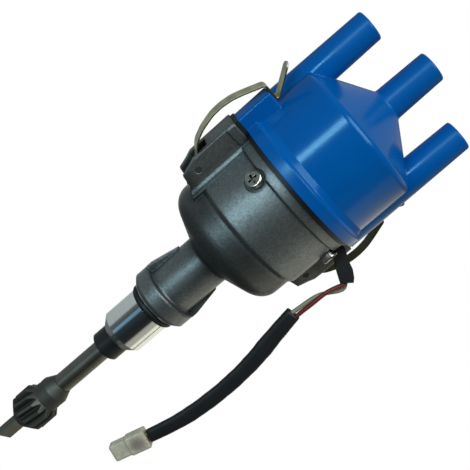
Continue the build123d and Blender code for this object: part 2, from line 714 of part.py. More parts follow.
with BuildPart() as distributor_cap:
    revolve(section(
        (0, cap_z), (cap_flange_r, cap_z), (cap_flange_r, cap_z + cap_flange_t, 0.8),
        (cap_wall_r + 0.9, cap_z + cap_flange_t + 1.0, 1.0), (cap_wall_r, cap_z + cap_cove_height),
        (shoulder_r, shoulder_z, 3.4), (centre_root_r, cone_top, 1.6), (tower_tip_r, centre_tip, tip_round),
        (0, centre_tip)), axis=Axis.Z)
    # side towers, with the bosses that run down the wall
    for angle in (tower_angle, tower_angle + 180):
        with BuildPart(mode=Mode.PRIVATE) as tower:
            with BuildSketch(Plane(origin=polar(tower_radius, angle, cap_z))) as root:
                Circle(tower_tip_r + tower_draft * side_tower_height)
            with BuildSketch(Plane(origin=polar(tower_radius, angle, side_tip))) as tip:
                Circle(tower_tip_r)
            loft()
            fillet(tower.faces().sort_by(Axis.Z)[-1].edges(), tip_round)
        add(tower.part)
    # clip lugs
    with BuildPart(mode=Mode.PRIVATE) as lugs:
        with BuildSketch(Plane.XY.offset(cap_z)) as lug_plan:
            RectangleRounded(2 * lug_reach, lug_w, lug_round)
        extrude(amount=lug_height)
        fillet(lugs.faces().sort_by(Axis.Z)[-1].edges(), lug_round - 0.2)
    add(lugs.part)
    # inside: room over the rotor arm, with a boss for the brush
    revolve(section(
        (0, cap_z), (spigot_inner_r, cap_z), (spigot_inner_r, cap_z + 1.6), (cap_inner_r, cap_z + 1.6),
        (cap_inner_r - 0.3, shoulder_z - roof_t + 1.0),
        (brush_boss_r + 2.0, shoulder_z - roof_t + (shoulder_r - brush_boss_r - 2.0) * cone_slope),
        (brush_boss_r, shoulder_z - roof_t + (shoulder_r - brush_boss_r - 4.0) * cone_slope),
        (brush_boss_r, brush_boss_bottom), (0, brush_boss_bottom)), axis=Axis.Z, mode=Mode.SUBTRACT)
    # locating spigot that drops inside the housing
    with BuildSketch(Plane.XY.offset(cap_z - spigot_drop)) as spigot:
        Circle(inner_drum_r - 0.15)
        Circle(spigot_inner_r, mode=Mode.SUBTRACT)
        with Locations(polar(inner_drum_r, lead_angle)):
            Rectangle(12.0, 12.0, rotation=lead_angle, mode=Mode.SUBTRACT)
    extrude(amount=spigot_drop)
    # brush bore, terminal holes and lead sockets
    with BuildSketch(Plane.XY.offset(brush_boss_bottom)) as brush_way:
        Circle(brush_bore_r)
    extrude(amount=centre_terminal_z - brush_boss_bottom, mode=Mode.SUBTRACT)
    with BuildSketch(Plane.XY.offset(centre_terminal_z)) as centre_way:
        Circle(centre_terminal_r)
    extrude(amount=centre_socket_z - centre_terminal_z, mode=Mode.SUBTRACT)
    with BuildSketch(Plane.XY.offset(centre_socket_z)) as centre_socket:
        Circle(socket_d / 2)
    extrude(amount=socket_depth, mode=Mode.SUBTRACT)
    for angle in (tower_angle, tower_angle + 180):
        with BuildSketch(Plane.XY.offset(terminal_low)) as rod_way:
            with Locations(polar(terminal_d_r, angle)):
                Circle(terminal_r)
        extrude(amount=side_socket_z - terminal_low, mode=Mode.SUBTRACT)
        with BuildSketch(Plane.XY.offset(side_socket_z)) as side_socket:
            with Locations(polar(tower_radius, angle)):
                Circle(socket_d / 2)
        extrude(amount=socket_depth, mode=Mode.SUBTRACT)
save(distributor_cap, "distributor_cap")

with BuildPart() as terminal_inserts:
    with BuildSketch(Plane.XY.offset(terminal_low)) as rods:
        with PolarLocations(terminal_d_r, 2, start_angle=tower_angle):
            Circle(terminal_r)
    extrude(amount=side_socket_z - terminal_low)
    with BuildSketch(Plane.XY.offset(centre_terminal_z)) as core:
        Circle(centre_terminal_r)
    extrude(amount=centre_socket_z - centre_terminal_z)
save(terminal_inserts, "terminal_inserts")

brush_z = contact_top + 0.1
with BuildPart() as carbon_brush:
    with BuildSketch(Plane.XY.offset(brush_z)) as rod:
        Circle(brush_d / 2)
    extrude(amount=brush_length)
    fillet(carbon_brush.faces().sort_by(Axis.Z)[0].edges(), 0.8)
save(carbon_brush, "carbon_brush")

spring_low = brush_z + brush_length
spring_height = centre_terminal_z - spring_low
spring_wire = 0.5
with BuildPart() as brush_spring:
    coil_height = spring_height - spring_wire
    with BuildLine() as coil_path:
        Helix(coil_height / brush_spring_turns, coil_height, 1.8, center=(0, 0, spring_low + spring_wire / 2))
    with BuildSketch(Plane(origin=coil_path.line @ 0, z_dir=coil_path.line % 0)) as wire_end:
        Rectangle(spring_wire * 0.9, spring_wire * 0.9)
    sweep(is_frenet=True)
save(brush_spring, "brush_spring")

# ---------------------------------------------------------------- cap clips
lug_top = cap_z + lug_height
clip_leg_z = lug_top + 0.15 + clip_t / 2
clip_handle_z = clip_leg_z + 13.15
clip_arm = [
    (clip_pivot_r + clip_eye_r - clip_t / 2, clip_pivot_z), (clip_pivot_r + 2.4, clip_pivot_z + 2.1),
    (clip_pivot_r + 8.5, clip_pivot_z + 7.4), (clip_pivot_r + 11.2, clip_pivot_z + 13.2),
    (clip_pivot_r + 13.0, clip_pivot_z + 20.4), (clip_pivot_r + 13.1, clip_pivot_z + 25.8),
    (clip_pivot_r + 12.3, clip_pivot_z + 31.0), (clip_pivot_r + 10.7, clip_pivot_z + 35.8),
    (clip_pivot_r + 7.2, clip_leg_z), (clip_pivot_r - 1.8, clip_leg_z), (clip_pivot_r + 8.0, clip_handle_z),
]
clip_bends = [1.5, 10, 12, 16, 16, 14, 9, 1.7, 1.0]
for side, name in ((1, "clip_right"), (-1, "clip_left")):
    with BuildPart() as clip:
        with BuildSketch(Plane.XZ) as eye:
            with Locations((side * clip_pivot_r, clip_pivot_z)):
                Circle(clip_eye_r)
                Circle(clip_eye_r - clip_t, mode=Mode.SUBTRACT)
        extrude(amount=clip_w / 2, both=True)
        with BuildLine() as arm_path:
            FilletPolyline(*[(side * x, 0, z) for x, z in clip_arm], radius=clip_bends)
        with BuildSketch(Plane(origin=arm_path.line @ 0, x_dir=(0, 1, 0), z_dir=arm_path.line % 0)) as strip:
            Rectangle(clip_w, clip_t)
        sweep(path=arm_path.line)
    save(clip, name)

with BuildPart() as clip_pins:
    with BuildSketch(Plane.XZ.offset(-clip_boss_w / 2 + 0.2)) as pin_ends:
        with Locations((clip_pivot_r, clip_pivot_z), (-clip_pivot_r, clip_pivot_z)):
            Circle(clip_pin_d / 2)
    extrude(amount=clip_boss_w - 0.4)
save(clip_pins, "clip_pins")

# ---------------------------------------------------------------- lead
lead_plane = upright_plane(lead_angle)
lead_out = Vector(cos(radians(lead_angle)), sin(radians(lead_angle)), 0)
lead_side = Vector(-lead_out.Y, lead_out.X, 0)
strap_outline = [
    (34.4, rim_top - 0.2), (37.3, rim_top - 0.9), (42.2, rim_top - 3.0), (45.3, rim_top - 4.15),
    (47.7, rim_top - 4.7), (51.1, rim_top - 6.7), (52.94, rim_top - 8.5), (49.05, rim_top - 13.5),
    (43.1, rim_top - 10.9), (35.4, rim_top - 6.3), (34.4, rim_top - 6.3),
]
strap_low = Vector(*strap_outline[7])        # the strap's end face, between two corners
strap_high = Vector(*strap_outline[6])
strap_face = (strap_low + strap_high) / 2
strap_along = (strap_high - strap_low).normalized()
strap_out = Vector(strap_along.Y, -strap_along.X)
pocket_depth = 2.4           # hollow in that face, where the wires leave
pocket_size = 4.9
pocket_floor = strap_face - strap_out * pocket_depth
with BuildPart() as lead_grommet:
    with BuildSketch(lead_plane) as body_outline:
        with Locations((inner_drum_r + 2.0, grommet_z + grommet_notch / 2)):
            Rectangle(5.2, grommet_notch)
    extrude(amount=grommet_w / 2, both=True)
    with BuildSketch(lead_plane) as inner_flange:
        with Locations((inner_drum_r - 1.5, grommet_z + 2.9)):
            Rectangle(1.9, 6.8)
    extrude(amount=grommet_w / 2, both=True)
    with BuildSketch(lead_plane) as strap:
        with BuildLine():
            Polyline(*strap_outline, close=True)
        make_face()
    extrude(amount=grommet_w / 2 - 0.3, both=True)
    pocket_across = Plane(
        origin=lead_out * pocket_floor.X + Vector(0, 0, pocket_floor.Y), x_dir=lead_side,
        z_dir=lead_out * strap_out.X + Vector(0, 0, strap_out.Y))
    with BuildSketch(pocket_across) as pocket:
        RectangleRounded(pocket_size, pocket_size, 1.2)
    extrude(amount=2 * pocket_depth, mode=Mode.SUBTRACT)
save(lead_grommet, "lead_grommet")

# the lead lies in one upright plane: (reach, height) of the sleeve, top to bottom
connector_tilt = 14.5        # degrees from straight down, inwards
connector_start = (48.4, -38.9)
sleeve_end_gap = 1.0
sleeve_route = [(46.8, 57.9), (49.3, 43.5), (52.5, 28.5), (54.2, 12.0), (54.2, -6.0), (52.4, -23.4)]
wire_gap = 1.5               # each wire from the middle of the sleeve
wire_side = 1.25             # each wire from the middle of the strap
wire_root = (pocket_floor.X, pocket_floor.Y)
red_lift = 3.3               # straight start of each wire, square to the strap's face
white_lift = 5.5
red_knee = pocket_floor + strap_out * red_lift
white_knee = pocket_floor + strap_out * white_lift
connector_axis = (-sin(radians(connector_tilt)), -cos(radians(connector_tilt)))


def lead_point(reach, height, offset=0.0):
    spot = lead_out * reach + lead_side * offset
    return (spot.X, spot.Y, height)


def beside(route, gap):
    """Points of a flat route, moved sideways by a gap."""
    moved = []
    for before, here, after in zip(route[:1] + route[:-1], route, route[1:] + route[-1:]):
        along = (Vector(*after) - Vector(*before)).normalized()
        moved.append((here[0] - along.Y * gap, here[1] + along.X * gap))
    return moved


sleeve_end = tuple(p - sleeve_end_gap * d for p, d in zip(connector_start, connector_axis))
sleeve_points = [lead_point(*p) for p in sleeve_route + [sleeve_end]]
wire_starts = {
    "lead_wire_red": (1, [
        (*wire_root, -wire_side), (red_knee.X, red_knee.Y, -wire_side), (49.9, 81.4, -wire_side),
        (48.6, 75.5, -wire_side), (48.8, 68.5, -1.15), (48.7, 61.0, -0.55)]),
    "lead_wire_white": (-1, [
        (*wire_root, wire_side), (white_knee.X, white_knee.Y, wire_side), (53.3, 81.5, wire_side),
        (50.2, 76.8, wire_side), (47.9, 71.9, 1.2), (47.1, 66.0, 0.9), (46.7, 61.0, 0.55)]),
}
inside_sleeve = [(47.5, 54.8)] + sleeve_route[1:]

for name, (side, visible) in wire_starts.items():
    hidden = beside(inside_sleeve, side * wire_gap)
    last = (connector_start[0] - connector_axis[1] * side * wire_gap,
            connector_start[1] + connector_axis[0] * side * wire_gap)
    wire_points = [lead_point(*p) for p in visible + hidden + [last]]
    bends = route_radii(wire_points)
    with BuildPart() as wire:
        with BuildLine() as wire_path:
            FilletPolyline(*wire_points, radius=bends)
        with BuildSketch(Plane(origin=wire_path.line @ 0, z_dir=wire_path.line % 0)) as wire_section:
            Circle(wire_d / 2)
        sweep(path=wire_path.line)
    save(wire, name)
    length = sum(edge.length for edge in wire_path.edges())
    print(name, "length", round(length, 1), "volume", round(wire.part.volume, 1),
          "expected", round(length * wire_section.sketch.area, 1))
    print("  radii", [round(r, 1) for r in bends])
    print("  points", [tuple(round(c, 2) for c in p) for p in wire_points])

sleeve_bends = route_radii(sleeve_points)
with BuildPart() as lead_sleeve:
    with BuildLine() as sleeve_path:
        FilletPolyline(*sleeve_points, radius=sleeve_bends)
    sleeve_mouth = Plane(origin=sleeve_path.line @ 0, x_dir=lead_side, z_dir=sleeve_path.line % 0)
    with BuildSketch(sleeve_mouth) as sleeve_section:
        RectangleRounded(sleeve_t, sleeve_w, 1.8)
        RectangleRounded(sleeve_t - 2 * sleeve_wall, sleeve_w - 2 * sleeve_wall, 1.1, mode=Mode.SUBTRACT)
    sweep(path=sleeve_path.line)
save(lead_sleeve, "lead_sleeve")
sleeve_length = sum(edge.length for edge in sleeve_path.edges())
print("lead_sleeve length", round(sleeve_length, 1), "volume", round(lead_sleeve.part.volume, 1),
      "expected", round(sleeve_length * sleeve_section.sketch.area, 1))
print("  radii", [round(r, 1) for r in sleeve_bends])
print("  points", [tuple(round(c, 2) for c in p) for p in sleeve_points])

# two-way connector
connector_w = 10.2
connector_t = 7.0
connector_rear = 10.5
connector_nose = 9.2
terminal_w = 2.3
terminal_length = 15.0
connector_plane = Plane(
    origin=lead_point(*connector_start), x_dir=lead_side,
    z_dir=lead_out * connector_axis[0] + Vector(0, 0, connector_axis[1]))
with BuildPart() as connector_housing:
    with BuildSketch(connector_plane) as rear:
        RectangleRounded(connector_t, connector_w, 1.0)
    extrude(amount=connector_rear)
    with BuildSketch(connector_plane.offset(connector_rear)) as nose:
        RectangleRounded(connector_t - 1.0, connector_w - 1.0, 0.9)
    extrude(amount=connector_nose)
    nose_face = connector_housing.faces().sort_by(Axis(connector_plane.origin, connector_plane.z_dir))[-1]
    fillet(nose_face.edges(), 1.0)
    with BuildSketch(connector_plane) as cavities:
        with Locations((0, wire_gap), (0, -wire_gap)):
            Rectangle(terminal_w, terminal_w)
    extrude(amount=connector_rear + connector_nose, mode=Mode.SUBTRACT)
save(connector_housing, "connector_housing")

with BuildPart() as connector_pins:
    with BuildSketch(connector_plane) as pins:
        with Locations((0, wire_gap), (0, -wire_gap)):
            Rectangle(terminal_w, terminal_w)
    extrude(amount=terminal_length)
    with BuildSketch(connector_plane.offset(6.0)) as sockets:
        with Locations((0, wire_gap), (0, -wire_gap)):
            Rectangle(terminal_w - 0.8, terminal_w - 0.8)
    extrude(amount=terminal_length - 6.0, mode=Mode.SUBTRACT)
save(connector_pins, "connector_pins")
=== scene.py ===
"""Looks of the two-cylinder ignition distributor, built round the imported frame.

The scene is in metres, and sizes typed in millimetres are multiplied by mm. +Z runs up the
drive shaft from the middle of the spigot, X passes through both cap clips, and the lead
leaves at the front right.
"""
import json
from math import ceil, copysign, cos, pi, radians, sin, tan

import bmesh
import bpy
from mathutils import Matrix, Vector


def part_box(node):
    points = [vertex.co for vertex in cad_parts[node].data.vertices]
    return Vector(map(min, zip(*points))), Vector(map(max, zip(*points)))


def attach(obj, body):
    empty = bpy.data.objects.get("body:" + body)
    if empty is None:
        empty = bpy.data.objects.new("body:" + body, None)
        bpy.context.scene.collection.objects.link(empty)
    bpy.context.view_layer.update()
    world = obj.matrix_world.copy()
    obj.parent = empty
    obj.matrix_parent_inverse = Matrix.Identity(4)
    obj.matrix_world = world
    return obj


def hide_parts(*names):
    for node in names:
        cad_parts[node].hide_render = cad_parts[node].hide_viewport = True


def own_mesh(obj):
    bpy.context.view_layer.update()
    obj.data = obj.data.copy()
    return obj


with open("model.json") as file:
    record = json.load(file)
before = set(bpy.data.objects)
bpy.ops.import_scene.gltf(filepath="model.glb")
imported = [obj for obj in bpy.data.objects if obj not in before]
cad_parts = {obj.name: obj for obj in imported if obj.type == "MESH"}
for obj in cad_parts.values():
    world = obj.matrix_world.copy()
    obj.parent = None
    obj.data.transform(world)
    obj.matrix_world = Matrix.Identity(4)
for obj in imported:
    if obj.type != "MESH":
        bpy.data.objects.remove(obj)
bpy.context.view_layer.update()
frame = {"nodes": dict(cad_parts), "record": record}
nodes = frame["nodes"]

mm = 0.001
body = "distributor_body"
lead_angle = radians(-20.5)      # plane of the lead and of the towers, from +X


# ---------------------------------------------------------------- camera
def add_camera():
    """The photograph's camera: a little above the horizon, rolled by 50 degrees."""
    right = Vector((0.61574, -0.23542, 0.75196))
    up = Vector((-0.58620, 0.50084, 0.63681))
    back = right.cross(up)
    place = Matrix((right, up, back)).transposed().to_4x4()
    place.translation = Vector((-0.17221, -0.29408, 0.12525))
    data = bpy.data.cameras.new("camera")
    data.sensor_width = 36.0
    data.lens = 57.45
    data.shift_x = -0.0482
    data.shift_y = 0.0299
    data.clip_start = 0.01
    camera = bpy.data.objects.new("camera", data)
    camera.matrix_world = place
    bpy.context.scene.collection.objects.link(camera)
    bpy.context.scene.camera = camera


add_camera()


# ---------------------------------------------------------------- shader nodes
class Nodes:
    """Short calls for the shader nodes used here, in one node tree."""

    def __init__(self, tree, coordinates):
        self.tree = tree
        self.coords = self.add("TexCoord").outputs[coordinates]

    def add(self, kind, inputs=None, **settings):
        """New node: settings are its own properties, inputs its sockets by name or number."""
        node = self.tree.nodes.new("ShaderNode" + kind)
        for key, value in settings.items():
            setattr(node, key, value)
        for key, value in (inputs or {}).items():
            self.feed(node.inputs[key], value)
        return node

    def feed(self, target, value):
        """Joins another node's output to an input, or sets a number, vector or colour there."""
        if isinstance(value, bpy.types.NodeSocket):
            self.tree.links.new(value, target)
        elif target.type == "RGBA":
            target.default_value = (*value, 1.0)
        else:
            target.default_value = value

    def combine(self, kind, operation, one, two, output="Value"):
        """Result of a Math or VectorMath node."""
        return self.add(kind, {0: one, 1: two}, operation=operation).outputs[output]

    def fade(self, value, start, end, low=0.0, high=1.0, curve="LINEAR"):
        """Runs from low to high as the value runs from start to end, and stops there."""
        return self.add("MapRange", {"Value": value, "From Min": start, "From Max": end,
                                     "To Min": low, "To Max": high},
                        interpolation_type=curve).outputs["Result"]

    def span(self, factor, low, high):
        """Runs from low to high with the factor."""
        return self.fade(factor, 0.0, 1.0, low, high)

    def blend(self, factor, one, two):
        """Number that runs from one to two, each of which may be another node's output."""
        return self.add("Mix", {"Factor": factor, 2: one, 3: two}).outputs[0]

    def mix(self, factor, one, two, how="MIX"):
        """Colour that runs from one to two with the factor, or their product."""
        return self.add("Mix", {"Factor": factor, 6: one, 7: two},
                        data_type="RGBA", blend_type=how).outputs[2]

    def ramp(self, factor, *stops):
        """Colour between two stops, each a value of the factor and a colour."""
        node = self.add("ValToRGB", {"Fac": factor})
        for element, (place, colour) in zip(node.color_ramp.elements, stops):
            element.position = place
            element.color = (*colour, 1.0)
        return node.outputs["Color"]

    def noise(self, scale, detail=3.0, rough=0.5, stretch=None):
        """Noise over the piece's own coordinates, squeezed along each axis by stretch."""
        spot = self.coords
        if stretch:
            spot = self.add("Mapping", {"Vector": spot, "Scale": stretch}).outputs["Vector"]
        return self.add("TexNoise", {"Vector": spot, "Scale": scale, "Detail": detail,
                                     "Roughness": rough}).outputs["Fac"]

    def band(self, low, high, soft=0.2 * mm):
        """1 between two heights of the piece, 0 outside."""
        height = self.add("SeparateXYZ", {"Vector": self.coords}).outputs["Z"]
        return self.combine("Math", "MINIMUM", self.fade(height, low - soft, low + soft),
                            self.fade(height, high + soft, high - soft))

    def hollows(self, reach):
        """0 deep in a recess, 1 on open faces."""
        return self.add("AmbientOcclusion", {"Distance": reach}, samples=8).outputs["AO"]

    def grazing(self, start, end):
        """0 face on, 1 where the surface turns away from the eye; it paints a reflection that
        changes with the view.
        """
        facing = self.add("LayerWeight", {"Blend": 0.5}).outputs["Facing"]
        return self.fade(facing, start, end)

    def bump(self, height, strength, distance, after=None):
        """Normals of a fine relief, laid over other normals where they are given."""
        inputs = {"Height": height, "Strength": strength, "Distance": distance}
        if after:
            inputs["Normal"] = after
        return self.add("Bump", inputs).outputs["Normal"]

    def soft_edges(self, radius):
        """Normals that roll over the edges, as cast and rumbled edges do."""
        return self.add("Bevel", {"Radius": radius}, samples=6).outputs["Normal"]


class Surface(Nodes):
    """Material on a piece's own coordinates."""

    def __init__(self, name):
        self.material = bpy.data.materials.new(name)
        self.material.use_nodes = True
        super().__init__(self.material.node_tree, "Object")
        self.shader = self.tree.nodes["Principled BSDF"]

    def set(self, **values):
        """Feeds the shader's inputs, named with _ for each space."""
        for key, value in values.items():
            self.feed(self.shader.inputs[key.replace("_", " ")], value)
        return self


def scaled(colour, share):
    """A colour made darker or lighter."""
    return tuple(c * share for c in colour)


# ---------------------------------------------------------------- materials
polished_z = (104 * mm, 146 * mm)      # part of the cap that mirrors sharply
polished_soft = 5 * mm
spigot_z = (-13.2 * mm, 13.2 * mm)     # turned end of the casting
bowl_shade_z = (44 * mm, 69 * mm)            # lower band of the casting, darkened in blotches as painted shade
bowl_shade_soft = 3 * mm
turning_lines = (30, 30, 5200)         # squeezes noise into rings round the shaft axis
white = (1.0, 1.0, 1.0)


def blue_plastic():
    """Glossy moulded cap: even colour, faint flow marks, very soft ripple."""
    s = Surface("blue_cap").set(IOR=1.5, Specular_IOR_Level=0.42, Specular_Tint=(0.42, 0.84, 1.0))
    base = (0.0, 0.115, 0.44)
    flow = s.noise(60, 4)
    gloss = s.noise(500, 2)
    ripple = s.noise(90, 1)
    polished = s.band(*polished_z, polished_soft)
    s.set(Base_Color=s.ramp(flow, (0.3, scaled(base, 0.93)), (0.7, base)),
          Roughness=s.blend(polished, 0.34, s.span(gloss, 0.14, 0.19)),
          Normal=s.bump(ripple, s.blend(polished, 0.0, 0.03), 0.5 * mm, s.soft_edges(0.6 * mm)))
    return s.material


def cast_metal():
    """Fine-grained aluminium casting; the spigot that enters the engine is turned bright."""
    s = Surface("cast_aluminium")
    light = (0.243, 0.275, 0.28)
    grain = s.noise(1000, 5, 0.7)
    cloud = s.noise(45, 3)
    swell = s.noise(130, 2)
    tone = s.ramp(grain, (0.36, scaled(light, 0.66)), (0.66, scaled(light, 1.15)))
    drum = s.mix(s.span(cloud, -0.1, 0.5), tone, scaled(light, 0.5))
    # painted shade: the lower band of the casting is darkened in blotches, where little light falls
    bowl_shade = s.mix(s.span(cloud, 0.55, 0.8), tone, scaled(light, 0.12))
    cast = s.mix(s.band(*bowl_shade_z, bowl_shade_soft), drum, bowl_shade)
    # painted shade: darker in corners and creases, where less light reaches
    corners = s.ramp(s.hollows(5 * mm), (0.4, (0.3, 0.3, 0.3)), (0.9, white))
    cast = s.mix(1.0, cast, corners, "MULTIPLY")

    lines = s.noise(1.0, 2, 0.5, turning_lines)
    silver = s.ramp(lines, (0.3, (0.76, 0.81, 0.81)), (0.7, (0.9, 0.95, 0.95)))
    # painted reflection: the turned spigot is dark blue face on, as if mirroring the dark room, and
    # silver where it turns away
    painted_reflection = s.mix(s.grazing(0.08, 0.22), (0.2, 0.27, 0.34), silver)

    turned = s.band(*spigot_z)
    edges = s.soft_edges(s.blend(turned, 1.1 * mm, 0.05 * mm))
    lumps = s.bump(swell, s.blend(turned, 0.14, 0.0), 1 * mm, edges)
    s.set(Base_Color=s.mix(turned, cast, painted_reflection),
          Metallic=s.blend(turned, 0.85, 1.0),
          Roughness=s.blend(turned, s.span(grain, 0.46, 0.38), 0.11),
          Normal=s.bump(grain, s.blend(turned, 0.4, 0.01), 0.2 * mm, lumps))
    return s.material


def turned_metal(name, base, rough, metallic=1.0):
    """Machined surface with fine turning lines round the shaft axis."""
    s = Surface(name).set(Metallic=metallic)
    ring = s.noise(1.0, 2, 0.5, turning_lines)
    blotch = s.noise(90, 4)
    s.set(Base_Color=s.ramp(blotch, (0.35, scaled(base, 0.72)), (0.7, base)),
          Roughness=s.span(ring, rough * 0.75, rough * 1.35),
          Normal=s.bump(ring, 0.12, 0.03 * mm))
    return s.material


def plain_metal(name, base, rough, grain=1800, metallic=1.0, corner_shade_reach=None):
    """Machined or plated metal; the last argument, when given, is how far painted shade reaches out
    of the corners.
    """
    s = Surface(name).set(Metallic=metallic)
    spots = s.noise(grain, 4)
    blotch = s.noise(120, 3)
    colour = s.ramp(blotch, (0.3, scaled(base, 0.75)), (0.7, base))
    edges = None
    if corner_shade_reach:
        # painted shade: darker in corners and recesses
        corners = s.ramp(s.hollows(corner_shade_reach), (0.4, (0.3, 0.3, 0.28)), (0.95, white))
        colour = s.mix(1.0, colour, corners, "MULTIPLY")
        edges = s.soft_edges(0.6 * mm)
    s.set(Base_Color=colour,
          Roughness=s.span(spots, rough * 0.8, rough * 1.3),
          Normal=s.bump(spots, 0.12, 0.04 * mm, edges))
    return s.material


def clip_plating():
    """Worn plated spring strip: pale on its outer faces; dull olive on the inner faces, which is
    painted shade, and along the sheared edges, which is the raw steel.
    """
    s = Surface("clip_steel").set(Metallic=0.45)
    normal = s.add("TexCoord").outputs["Normal"]
    sideways = s.combine("VectorMath", "MULTIPLY", s.coords, (1.0, 0.0, 0.0), "Vector")
    facing_out = s.combine("VectorMath", "DOT_PRODUCT", sideways, normal)
    # 1 where a face far out looks outwards; the dark olive elsewhere is painted shade on the inner
    # faces and the raw steel on the sheared edges
    outer_unshaded = s.fade(facing_out, 4 * mm, 12 * mm)
    blotch = s.noise(220, 4)
    scuffs = s.noise(900, 3)
    plating = s.ramp(blotch, (0.35, (0.38, 0.37, 0.23)), (0.65, (0.56, 0.55, 0.38)))
    s.set(Base_Color=s.mix(outer_unshaded, (0.07, 0.068, 0.025), plating),
          Roughness=s.span(scuffs, 0.3, 0.45))
    return s.material


def screw_plating():
    """Bright zinc with painted shade in the recess and under the head."""
    s = Surface("screw_zinc").set(Metallic=1.0)
    unshaded_face = s.hollows(1.2 * mm)
    scuffs = s.noise(1500, 3)
    # painted shade: near black deep in the cross recess and under the head
    s.set(Base_Color=s.ramp(unshaded_face, (0.45, (0.02, 0.02, 0.018)), (0.85, (0.50, 0.51, 0.46))),
          Roughness=s.span(scuffs, 0.14, 0.28), Normal=s.soft_edges(0.25 * mm))
    return s.material


def dull_moulding(name, base, rough, grain=1600, depth=0.06 * mm):
    """Rubber or plastic with a fine matt skin."""
    s = Surface(name)
    skin = s.noise(grain, 4)
    blotch = s.noise(160, 3)
    s.set(Base_Color=s.ramp(blotch, (0.3, scaled(base, 0.8)), (0.7, base)),
          Roughness=s.span(skin, rough * 0.85, min(1.0, rough * 1.15)),
          Normal=s.bump(skin, 0.25, depth))
    return s.material


sleeve_end = (45.57, -17.04, -37.93)      # lower end of the lead's sleeving, in mm
crimp_share = 0.42                        # way from the connector's middle to the sleeving
crimp_core = 3 * mm                       # darkest part of the patch round the crimps
crimp_reach = 6.5 * mm


def milky_nylon():
    """Translucent connector: light goes in and comes out softened, the crimps show through."""
    s = Surface("connector_nylon").set(
        Transmission_Weight=0.25, IOR=1.45, Subsurface_Weight=0.3,
        Subsurface_Radius=(4 * mm, 4 * mm, 3 * mm), Subsurface_Scale=1.0)
    haze = s.noise(320, 3)
    milk = s.ramp(haze, (0.3, (0.70, 0.67, 0.50)), (0.7, (0.86, 0.83, 0.66)))
    low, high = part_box("connector_housing")
    crimp = ((low + high) / 2).lerp(Vector(sleeve_end) * mm, crimp_share)
    away = s.combine("VectorMath", "DISTANCE", s.coords, crimp)
    near = s.fade(away, crimp_reach, crimp_core, 0.0, 0.75, "SMOOTHSTEP")
    skin = s.noise(900, 2)
    s.set(Base_Color=s.mix(near, milk, (0.25, 0.16, 0.17)), Roughness=s.span(haze, 0.25, 0.4),
          Normal=s.bump(skin, 0.1, 0.05 * mm))
    return s.material


finish = {
    "blue_cap": blue_plastic(),
    "cast_aluminium": cast_metal(),
    "shaft_steel": turned_metal("shaft_steel", (0.27, 0.275, 0.24), 0.34),
    # the gear gets painted shade in its corners and recesses
    "gear_steel": plain_metal("gear_steel", (0.12, 0.127, 0.112), 0.5, grain=700,
                              metallic=0.75, corner_shade_reach=4 * mm),
    "dark_bush": turned_metal("dark_bush", (0.03, 0.036, 0.038), 0.34, metallic=0.5),
    "black_rubber": dull_moulding("black_rubber", (0.012, 0.014, 0.015), 0.5),
    "plated_steel": plain_metal("plated_steel", (0.55, 0.54, 0.5), 0.3),
    "felt": dull_moulding("felt", (0.55, 0.52, 0.45), 0.95, grain=700, depth=0.3 * mm),
    "black_moulding": dull_moulding("black_moulding", (0.02, 0.02, 0.022), 0.4),
    "brass": plain_metal("brass", (0.68, 0.48, 0.2), 0.3),
    "magnet": plain_metal("magnet", (0.08, 0.08, 0.08), 0.5, metallic=0.4),
    "screw_zinc": screw_plating(),
    "carbon": dull_moulding("carbon", (0.02, 0.02, 0.02), 0.55),
    "clip_steel": clip_plating(),
    "wire_red": dull_moulding("wire_red", (0.2, 0.016, 0.02), 0.4),
    "wire_white": dull_moulding("wire_white", (0.30, 0.32, 0.22), 0.42),
    "sleeve_black": dull_moulding("sleeve_black", (0.006, 0.008, 0.010), 0.55),
    "connector_nylon": milky_nylon(),
}

slot_of = {row["node"]: row["material_slot"] for row in frame["record"]["subparts"]}
for name, node in nodes.items():
    node.data.materials.clear()
    node.data.materials.append(finish[slot_of[name]])


# ---------------------------------------------------------------- connector
def soften_mould(piece):
    """A moulding has no sharp edges: a fine even skin, then smoothed."""
    skin = piece.modifiers.new("skin", "REMESH")
    skin.mode = "VOXEL"
    skin.voxel_size = 0.35 * mm
    skin.use_smooth_shade = True
    rounding = piece.modifiers.new("rounding", "SMOOTH")
    rounding.factor = 0.5
    rounding.iterations = 10


soften_mould(nodes["connector_housing"])


# ---------------------------------------------------------------- pieces built here
def mesh_piece(name, vertices, faces):
    """Smooth-shaded mesh with its faces turned outwards."""
    mesh = bpy.data.meshes.new(name)
    mesh.from_pydata([tuple(v) for v in vertices], [], faces)
    mesh.validate()
    work = bmesh.new()
    work.from_mesh(mesh)
    bmesh.ops.recalc_face_normals(work, faces=work.faces)
    work.to_mesh(mesh)
    work.free()
    mesh.polygons.foreach_set("use_smooth", [True] * len(mesh.polygons))
    piece = bpy.data.objects.new(name, mesh)
    bpy.context.scene.collection.objects.link(piece)
    return piece


def ring_faces(rings, count, closed=False):
    """Faces along rings of count points each, which close on themselves or end in caps."""
    faces = []
    for i in range(rings if closed else rings - 1):
        j = (i + 1) % rings
        for k in range(count):
            n = (k + 1) % count
            faces.append((i * count + k, i * count + n, j * count + n, j * count + k))
    if not closed:
        last = (rings - 1) * count
        faces += [tuple(range(count)), tuple(last + k for k in reversed(range(count)))]
    return faces


def heading(line, i):
    """Direction of a line of points at one of them."""
    return (line[min(i + 1, len(line) - 1)] - line[max(i - 1, 0)]).normalized()


def dress(piece, slot, body_name):
    """Finish, slot and body of a piece built here."""
    piece.data.materials.clear()
    piece.data.materials.append(finish[slot])
    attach(piece, body_name)
    return piece


